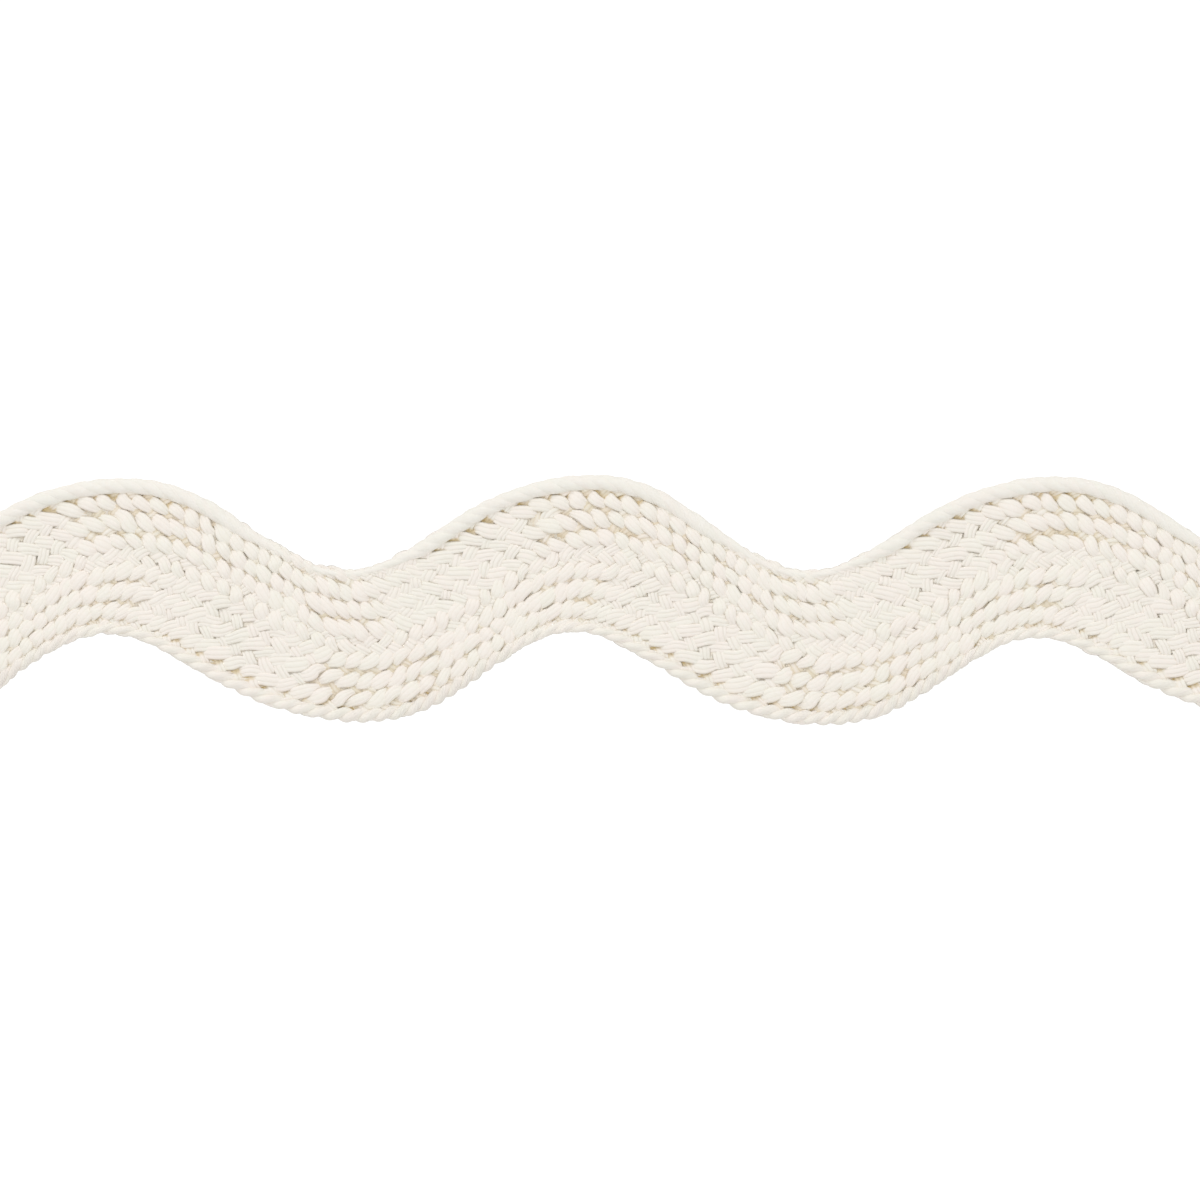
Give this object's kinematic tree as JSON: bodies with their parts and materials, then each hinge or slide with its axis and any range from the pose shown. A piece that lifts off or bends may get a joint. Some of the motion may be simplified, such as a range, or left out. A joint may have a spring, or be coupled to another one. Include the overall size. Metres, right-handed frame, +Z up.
{
  "type": "cut length of ric rac trim",
  "caption": "Flat cotton zigzag braid with rounded waves and rolled edge cords, cut straight across at both ends and lying flat.",
  "frame": {"origin": "under the middle of the trim, on the surface it lies on", "axes": "+X along the trim, +Y across it towards the edge that is uppermost in the picture, +Z up out of its face"},
  "size_m": [0.1616, 0.025, 0.0017],
  "materials": {
    "natural_cotton": "matt braided cotton, undyed cream"
  },
  "bodies": {
    "root": {"ric_rac_braid": "natural_cotton"}
  },
  "joints": []
}
